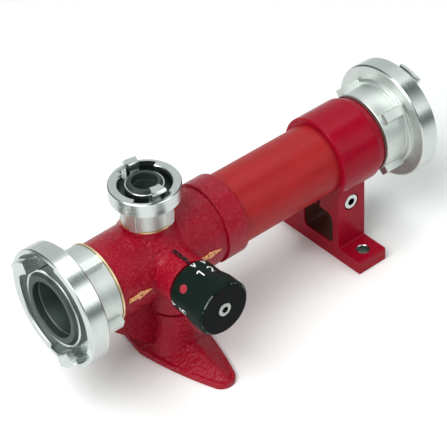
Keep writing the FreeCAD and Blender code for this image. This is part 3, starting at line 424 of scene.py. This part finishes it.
def worked_metal(name, dark, light, roughness, drift_mm, socket=None):
    """Machined, pressed or plated metal whose shade and gloss drift a little over its surface.

    A screw's key socket, given as its centre and radius on an axis along Y, is darkened with painted shade
    in the recess and with grime.
    """
    grime_and_shade = rgba(linear("2A332E"))
    material, tree, shader, point = start_material(name)
    drift = add(tree, NOISE, {
        "Vector": point, "Scale": 1 / (drift_mm * MM), "Detail": 3.0, "Roughness": 0.6}).outputs["Fac"]
    colour = add(tree, MIX, {
        "Factor": drift,
        "A": rgba(linear(dark)),
        "B": rgba(linear(light))}, data_type="RGBA").outputs["Result"]
    # Painted shade and grime in the key socket
    if socket:
        centre, socket_radius = socket
        offset = add(tree, VECTOR, {0: point, 1: centre}, operation="SUBTRACT").outputs[0]
        plan = add(tree, VECTOR, {0: offset, 1: (1, 0, 1)}, operation="MULTIPLY").outputs[0]
        radius = add(tree, VECTOR, {0: plan}, operation="LENGTH").outputs["Value"]
        inside = add(tree, MATH, {0: radius, 1: socket_radius}, operation="LESS_THAN").outputs[0]
        colour = add(tree, MIX, {
            "Factor": inside, "A": colour, "B": grime_and_shade}, data_type="RGBA").outputs["Result"]
    gloss = add(tree, MATH, {0: drift, 1: 0.14, 2: roughness}, operation="MULTIPLY_ADD").outputs[0]
    relief = add(tree, BUMP, {"Height": drift, "Distance": 0.03 * MM, "Strength": 0.3})
    tree.links.new(colour, shader.inputs["Base Color"])
    tree.links.new(gloss, shader.inputs["Roughness"])
    tree.links.new(relief.outputs["Normal"], shader.inputs["Normal"])
    shader.inputs["Metallic"].default_value = 1.0
    return material


def dial_plastic(colours):
    """Moulded black phenolic plastic: satin, with a fine mould grain and paler handling marks.

    The face is painted darker than the rest, painted shade, as it is less lit than the skirt; its edge is
    scuffed pale by knocks.
    """
    patch, pore = 9.0 * MM, 0.8 * MM
    face_depth, edge_half = 0.3 * MM, 0.4 * MM
    black, scuffed = rgba(colours.dial_plastic, 0.2), rgba(linear("6A736E"))
    material, tree, shader, point = start_material("moulded_black_dial_plastic")
    handled = add(tree, NOISE, {
        "Vector": point, "Scale": 1 / patch, "Detail": 4.0, "Roughness": 0.6}).outputs["Fac"]
    mould = add(tree, NOISE, {"Vector": point, "Scale": 1 / pore, "Detail": 2.0}).outputs["Fac"]
    dusty = add(tree, MIX, {
        "Factor": handled,
        "A": rgba(colours.dial_plastic, 0.75),
        "B": rgba(colours.dial_plastic, 1.35)}, data_type="RGBA").outputs["Result"]
    _, out, _ = add(tree, SPLIT, {"Vector": point}).outputs
    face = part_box("dial_knob")[0][1] + face_depth
    # Painted shade: the flat face is darkened to a fifth of the plastic's colour
    shaded_face = add(tree, MATH, {0: out, 1: face}, operation="LESS_THAN").outputs[0]
    edge = add(tree, MATH, {0: out, 1: face + edge_half, 2: edge_half}, operation="COMPARE").outputs[0]
    knocked = add(tree, MATH, {0: handled, 1: 0.57}, operation="GREATER_THAN").outputs[0]
    scuffs = add(tree, MATH, {0: edge, 1: knocked}, operation="MULTIPLY").outputs[0]
    face_with_shade = add(tree, MIX, {"Factor": shaded_face, "A": dusty, "B": black}, data_type="RGBA").outputs["Result"]
    colour = add(tree, MIX, {"Factor": scuffs, "A": face_with_shade, "B": scuffed}, data_type="RGBA").outputs["Result"]
    gloss = add(tree, MATH, {0: handled, 1: 0.2, 2: 0.3}, operation="MULTIPLY_ADD").outputs[0]
    relief = add(tree, BUMP, {"Height": mould, "Distance": 0.04 * MM, "Strength": 0.35})
    tree.links.new(colour, shader.inputs["Base Color"])
    tree.links.new(gloss, shader.inputs["Roughness"])
    tree.links.new(relief.outputs["Normal"], shader.inputs["Normal"])
    shader.inputs["Specular IOR Level"].default_value = 0.05
    return material


def scale_ink(name, colour):
    """Printed ink on the dial: nearly even, a little thin in places."""
    patch = 1.4 * MM
    material, tree, shader, point = start_material(name)
    thin = add(tree, NOISE, {"Vector": point, "Scale": 1 / patch, "Detail": 3.0}).outputs["Fac"]
    worn = add(tree, MIX, {
        "Factor": thin, "A": rgba(colour, 0.55), "B": rgba(colour, 1.1)}, data_type="RGBA").outputs["Result"]
    tree.links.new(worn, shader.inputs["Base Color"])
    shader.inputs["Roughness"].default_value = 0.5
    return material


def finish_nodes(material, *names):
    """Puts one material on CAD nodes."""
    for name in names:
        mesh = frame["nodes"][name].data
        mesh.materials.clear()
        mesh.materials.append(material)


def arc_stroke(centre, radii, start, end, count=24):
    """Stroke along an ellipse: centre + radii * (cos t, sin t), with t in degrees from start to end."""
    t = np.radians(np.linspace(start, end, count))
    return np.stack([centre[0] + radii[0] * np.cos(t), centre[1] + radii[1] * np.sin(t)], axis=1)


def line_stroke(first, second, count=10):
    """Stroke along a straight line: first + (second - first) * t."""
    t = np.linspace(0, 1, count)[:, None]
    return np.array(first)[None, :] * (1 - t) + np.array(second)[None, :] * t


def digit_strokes(digit):
    """Centre lines of a printed number in a box of width 0.6 and height 1 about its middle."""
    shapes = {
        1: [line_stroke((-0.4, 0.28), (0.0, 0.5)), line_stroke((0.0, 0.5), (0.0, -0.5))],
        2: [arc_stroke((0, 0.22), (0.27, 0.28), 165, -30),
            line_stroke((0.234, 0.08), (-0.28, -0.5)),
            line_stroke((-0.28, -0.5), (0.3, -0.5))],
        3: [arc_stroke((0, 0.25), (0.25, 0.25), 150, -90), arc_stroke((0, -0.23), (0.28, 0.27), 90, -150)],
        4: [line_stroke((0.14, 0.5), (-0.3, -0.2)), line_stroke((-0.3, -0.2), (0.32, -0.2)),
            line_stroke((0.14, 0.5), (0.14, -0.5))],
        5: [line_stroke((0.26, 0.5), (-0.22, 0.5)), line_stroke((-0.22, 0.5), (-0.25, 0.05)),
            arc_stroke((-0.02, -0.18), (0.3, 0.32), 140, -140)],
        6: [arc_stroke((0.16, -0.16), (0.45, 0.66), 75, 180), arc_stroke((0, -0.2), (0.29, 0.3), 0, 360)],
    }
    return shapes[digit]


def ribbon(path, width):
    """Flat ribbon along a path: path +- width / 2 along its in-plane normal, as (points along, 2, 2)."""
    along = np.gradient(path, axis=0)
    along /= np.linalg.norm(along, axis=1, keepdims=True)
    normal = np.stack([-along[:, 1], along[:, 0]], axis=1)
    return np.stack([path - normal * width / 2, path + normal * width / 2], axis=1)


def wrap_on_skirt(flat, angle, place, lift):
    """Flat (u, v) points laid on the dial's skirt, with v along the dial axis from a place on it.

    Each is turned by angle - u / R about the axis, at the skirt's radius R plus a lift.
    """
    radius = bpy.context.scene.inductor_sizes.skirt_radius
    turn = angle - flat[..., 0] / radius
    reach = radius + lift
    return np.stack([
        DIAL_AXIS.x + reach * np.cos(turn),
        place + flat[..., 1],
        DIAL_AXIS.z + reach * np.sin(turn)], axis=-1)


def grid_faces(rows, columns, start):
    """Quads of a rows x columns grid of vertices, numbered from start."""
    corner = np.arange(rows - 1)[:, None] * columns + np.arange(columns - 1)[None, :] + start
    return np.stack([corner, corner + 1, corner + columns + 1, corner + columns], axis=-1).reshape(-1, 4)


def mesh_piece(name, patches, material, body):
    """One mesh object from grids of points, each (rows, columns, 3), riding on a body."""
    vertices = np.concatenate([p.reshape(-1, 3) for p in patches])
    starts = np.cumsum([0] + [p.shape[0] * p.shape[1] for p in patches[:-1]])
    faces = np.concatenate([grid_faces(p.shape[0], p.shape[1], s) for p, s in zip(patches, starts)])
    mesh = bpy.data.meshes.new(name)
    mesh.from_pydata(vertices.tolist(), [], faces.tolist())
    mesh.materials.append(material)
    piece = bpy.data.objects.new(name, mesh)
    bpy.context.scene.collection.objects.link(piece)
    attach(piece, body)


class INDUCTOR_OT_castings(bpy.types.Operator):
    """Red castings and the smooth tube between them"""
    bl_idname = "inductor.castings"
    bl_label = "Castings and tube"

    def execute(self, context):
        colours = context.scene.inductor_colours
        rough = cast_enamel("sand_cast_red_enamel", colours, relief_mm=1.5, grain=0.24, specular=0.18)
        finish_nodes(rough, "injector_body")
        smooth = cast_enamel("smooth_cast_red_enamel", colours, relief_mm=0.15, grain=0.04, specular=0.1)
        finish_nodes(smooth, "outlet_bracket")
        finish_nodes(drawn_tube_enamel(colours), "outer_tube")
        return {"FINISHED"}


class INDUCTOR_OT_couplings(bpy.types.Operator):
    """Aluminium claw couplings with their seals and gaskets"""
    bl_idname = "inductor.couplings"
    bl_label = "Couplings"

    def execute(self, context):
        for end, zones in COUPLING_ZONES.items():
            metal = coupling_aluminium(end + "_cast_aluminium", MOUNTS[end + "_claws"], zones)
            finish_nodes(metal, end + "_coupling")
        rubber = pressed_sheet("moulded_black_rubber", "1A231F", "323E39")
        finish_nodes(rubber, "inlet_seal", "outlet_seal", "suction_seal", "nozzle_seal", "spindle_seals")
        fibre = pressed_sheet("pressed_brown_fibre", "3E2420", "5E3A32")
        finish_nodes(fibre, "outlet_gasket", "tube_gasket")
        copper = worked_metal("pressed_copper_gasket", "D0B488", "ECD9B4", 0.34, 5.0)
        finish_nodes(copper, "inlet_gasket", "suction_gasket")
        return {"FINISHED"}


class INDUCTOR_OT_dial(bpy.types.Operator):
    """Black dial with its printed scale and its closed-position dot"""
    bl_idname = "inductor.dial"
    bl_label = "Dial"

    def execute(self, context):
        sizes = context.scene.inductor_sizes
        colours = context.scene.inductor_colours
        finish_nodes(dial_plastic(colours), "dial_knob")
        inner_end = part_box("dial_knob")[1][1]
        lift = 0.05 * MM
        scale_angles = (90, 64, 24, -26, -90, -170)
        number_place = inner_end - 13.7 * MM
        number_shift = np.array([-1.3 * MM, 0.0])
        caret_place = inner_end - 3.4 * MM
        caret_half = (1.5 * MM, 1.9 * MM)
        caret_stroke = 0.9 * sizes.stroke_width
        dot_angle = math.radians(142)
        dot_place = inner_end - 10.8 * MM
        patches = []
        for digit, degrees in enumerate(scale_angles, start=1):
            angle = math.radians(degrees)
            for stroke in digit_strokes(digit):
                flat = ribbon(stroke * sizes.digit_height + number_shift, sizes.stroke_width)
                patches.append(wrap_on_skirt(flat, angle, number_place, lift))
            for side in (-1, 1):
                stroke = line_stroke((0.0, -caret_half[1]), (side * caret_half[0], caret_half[1]))
                flat = ribbon(stroke, caret_stroke)
                patches.append(wrap_on_skirt(flat, angle, caret_place, lift))
        mesh_piece("dial_scale", patches, scale_ink("white_scale_ink", colours.print_white), "dial")
        span = np.linspace(0, 2 * math.pi, 49)
        reach = np.linspace(0, sizes.dot_radius, 5)
        disc = np.stack([
            reach[:, None] * np.cos(span)[None, :], reach[:, None] * np.sin(span)[None, :]], axis=-1)
        dot = wrap_on_skirt(disc, dot_angle, dot_place, lift)
        mesh_piece("dial_dot", [dot], scale_ink("red_dot_ink", colours.dot_red), "dial")
        return {"FINISHED"}


class INDUCTOR_OT_hardware(bpy.types.Operator):
    """Screws, pins and the machined pieces inside"""
    bl_idname = "inductor.hardware"
    bl_label = "Hardware and inner pieces"

    def execute(self, context):
        steel = worked_metal("zinc_plated_steel", "B4B8B4", "DDE0DC", 0.28, 3.0)
        finish_nodes(steel, "knob_washer", "stop_pin", "check_ball")
        screws = (("knob_screw", 2.7, "8C928D", "B9BEB9"), ("clamp_screw", 3.3, "B4B8B4", "DDE0DC"))
        for node, socket_mm, dark, light in screws:
            low, high = (Vector(corner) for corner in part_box(node))
            socket = ((low + high) / 2, socket_mm * MM)
            plated = worked_metal("zinc_plated_" + node, dark, light, 0.28, 3.0, socket)
            finish_nodes(plated, node)
        # The inner pieces are painted dark: painted shade, as they sit deep inside the bores
        aluminium = worked_metal("shade_darkened_aluminium", "5A6561", "7C8883", 0.3, 8.0)
        finish_nodes(aluminium, "water_nozzle", "diffuser", "valve_seat", "ball_cage")
        brass = worked_metal("machined_brass", "A88544", "CDAA66", 0.28, 7.0)
        finish_nodes(brass, "metering_spindle", "gland_nut")
        return {"FINISHED"}


def soft_light(name, place, size, power):
    """Square soft light at a place, turned towards the camera's aim and unseen by the camera itself."""
    data = bpy.data.lights.new(name, "AREA")
    data.size = size
    data.energy = power
    light = bpy.data.objects.new(name, data)
    light.visible_camera = False
    turn = (CAMERA_AIM - Vector(place)).to_track_quat("-Z", "Y")
    light.matrix_world = Matrix.Translation(place) @ turn.to_matrix().to_4x4()
    bpy.context.scene.collection.objects.link(light)


def pale_floor():
    """Flat pale floor: a square grid of two by two points at the height of the feet."""
    sides = np.array([-FLOOR_HALF, FLOOR_HALF])
    u, v = np.meshgrid(sides, sides, indexing="ij")
    points = np.stack([u, v, np.full_like(u, CAD_BOX[0][2] - FLOOR_DROP)], axis=-1)
    mesh = bpy.data.meshes.new("floor")
    mesh.from_pydata(points.reshape(-1, 3).tolist(), [], [(0, 2, 3, 1)])
    material, _, shader, _ = start_material("pale_studio_floor")
    shader.inputs["Base Color"].default_value = rgba(linear("F6F6F5"))
    shader.inputs["Roughness"].default_value = 0.7
    mesh.materials.append(material)
    floor = bpy.data.objects.new("floor", mesh)
    bpy.context.scene.collection.objects.link(floor)
    return floor


class INDUCTOR_OT_stage(bpy.types.Operator):
    """Pale floor, soft studio light and the camera"""
    bl_idname = "inductor.stage"
    bl_label = "Studio"

    def execute(self, context):
        scene = context.scene
        azimuth, elevation, roll = (math.radians(v) for v in CAMERA_TURNS)
        level = math.cos(elevation)
        back = Vector((level * math.sin(azimuth), -level * math.cos(azimuth), math.sin(elevation)))
        turn = back.to_track_quat("Z", "Y").to_matrix().to_4x4() @ Matrix.Rotation(roll, 4, "Z")
        data = bpy.data.cameras.new("camera")
        data.lens = CAMERA_LENS
        data.sensor_width = CAMERA_SENSOR
        camera = bpy.data.objects.new("camera", data)
        place = CAMERA_AIM + back * scene.inductor_sizes.camera_distance
        camera.matrix_world = Matrix.Translation(place) @ turn
        scene.collection.objects.link(camera)
        scene.camera = camera
        pale_floor()
        for name, (light_place, size, power) in LIGHTS.items():
            soft_light(name, light_place, size, power)
        world = bpy.data.worlds.new("studio")
        world.use_nodes = True
        sky = world.node_tree.nodes["Background"]
        sky.inputs["Color"].default_value = rgba(linear("586766"))
        sky.inputs["Strength"].default_value = 1.0
        scene.world = world
        scene.view_settings.view_transform = "Standard"
        return {"FINISHED"}


STEPS = (
    INDUCTOR_OT_castings, INDUCTOR_OT_couplings, INDUCTOR_OT_dial, INDUCTOR_OT_hardware, INDUCTOR_OT_stage)


class INDUCTOR_PT_panel(bpy.types.Panel):
    """Lists the inductor's operators in the 3D view's sidebar"""
    bl_label = "Foam inductor"
    bl_idname = "INDUCTOR_PT_panel"
    bl_space_type = "VIEW_3D"
    bl_region_type = "UI"
    bl_category = "Foam inductor"

    def draw(self, context):
        for step in STEPS:
            self.layout.operator(step.bl_idname)


CLASSES = (InductorSizes, InductorColours) + STEPS + (INDUCTOR_PT_panel,)


def register():
    """Registers the classes and the scene's two property groups."""
    for item in CLASSES:
        bpy.utils.register_class(item)
    bpy.types.Scene.inductor_sizes = PointerProperty(type=InductorSizes)
    bpy.types.Scene.inductor_colours = PointerProperty(type=InductorColours)


def unregister():
    """Takes them away again."""
    del bpy.types.Scene.inductor_colours
    del bpy.types.Scene.inductor_sizes
    for item in reversed(CLASSES):
        bpy.utils.unregister_class(item)


def main():
    """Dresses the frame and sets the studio."""
    register()
    bpy.ops.inductor.castings()
    bpy.ops.inductor.couplings()
    bpy.ops.inductor.dial()
    bpy.ops.inductor.hardware()
    bpy.ops.inductor.stage()


if __name__ == "__main__":
    main()
